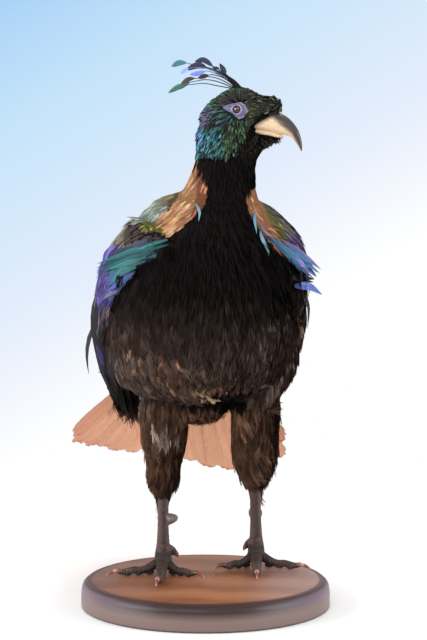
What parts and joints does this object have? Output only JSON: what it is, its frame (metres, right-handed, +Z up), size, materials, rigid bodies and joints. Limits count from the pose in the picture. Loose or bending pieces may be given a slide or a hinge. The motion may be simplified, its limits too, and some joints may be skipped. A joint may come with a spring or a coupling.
{
  "type": "taxidermy pheasant mount",
  "caption": "Mounted cock monal pheasant standing upright on a round turned wooden base, head turned aside, wings folded, tail fanned.",
  "frame": {"origin": "centre of the underside of the felt pad that the base stands on", "axes": "+Z up through the bird; -Y the way the bird's breast faces, the breast being turned a few degrees towards +X; +X to the bird's left"},
  "size_m": [0.3016, 0.4486, 0.5953],
  "materials": {
    "walnut": "satin lacquer",
    "felt": "pressed wool felt",
    "steel": "plain drawn wire",
    "foam": "carved rigid foam",
    "dark_feathers": "soft brown-black feathers",
    "neck_feathers": "copper, gold and green gloss",
    "crown_feathers": "green metallic gloss",
    "wing_feathers": "blue, violet and green metallic gloss",
    "dark_quills": "dull dark vanes",
    "tail_feathers": "dull rufous vanes",
    "leg_scales": "dried scaled skin",
    "horn": "polished horn",
    "bare_skin": "dull bare skin",
    "eye_glass": "polished glass"
  },
  "bodies": {
    "root": {"felt_pad": "felt", "base_disc": "walnut", "right_leg_wire": "steel", "right_leg_washer": "steel", "right_leg_nut": "steel", "right_foot": "leg_scales", "right_spur": "horn", "right_thigh": "dark_feathers", "left_leg_wire": "steel", "left_leg_washer": "steel", "left_leg_nut": "steel", "left_foot": "leg_scales", "left_spur": "horn", "left_thigh": "dark_feathers", "body_form": "foam", "body_skin": "dark_feathers", "neck_form": "foam", "neck_wire": "steel", "neck_skin": "neck_feathers", "head_form": "foam", "head_skin": "crown_feathers", "upper_bill": "horn", "lower_bill": "horn", "right_glass_eye": "eye_glass", "right_eye_skin": "bare_skin", "left_glass_eye": "eye_glass", "left_eye_skin": "bare_skin", "crest": "crown_feathers", "right_wing_wire": "steel", "right_wing_coverts": "wing_feathers", "right_secondaries": "wing_feathers", "right_primaries": "dark_quills", "left_wing_wire": "steel", "left_wing_coverts": "wing_feathers", "left_secondaries": "wing_feathers", "left_primaries": "dark_quills", "tail_wire": "steel", "tail_block": "foam", "upper_tail_coverts": "wing_feathers", "under_tail_coverts": "dark_feathers", "tail_feather_01": "tail_feathers", "tail_feather_02": "tail_feathers", "tail_feather_03": "tail_feathers", "tail_feather_04": "tail_feathers", "tail_feather_05": "tail_feathers", "tail_feather_06": "tail_feathers", "tail_feather_07": "tail_feathers", "tail_feather_08": "tail_feathers", "tail_feather_09": "tail_feathers", "tail_feather_10": "tail_feathers", "tail_feather_11": "tail_feathers", "tail_feather_12": "tail_feathers", "tail_feather_13": "tail_feathers", "tail_feather_14": "tail_feathers", "tail_feather_15": "tail_feathers", "tail_feather_16": "tail_feathers", "tail_feather_17": "tail_feathers", "tail_feather_18": "tail_feathers"}
  },
  "joints": []
}
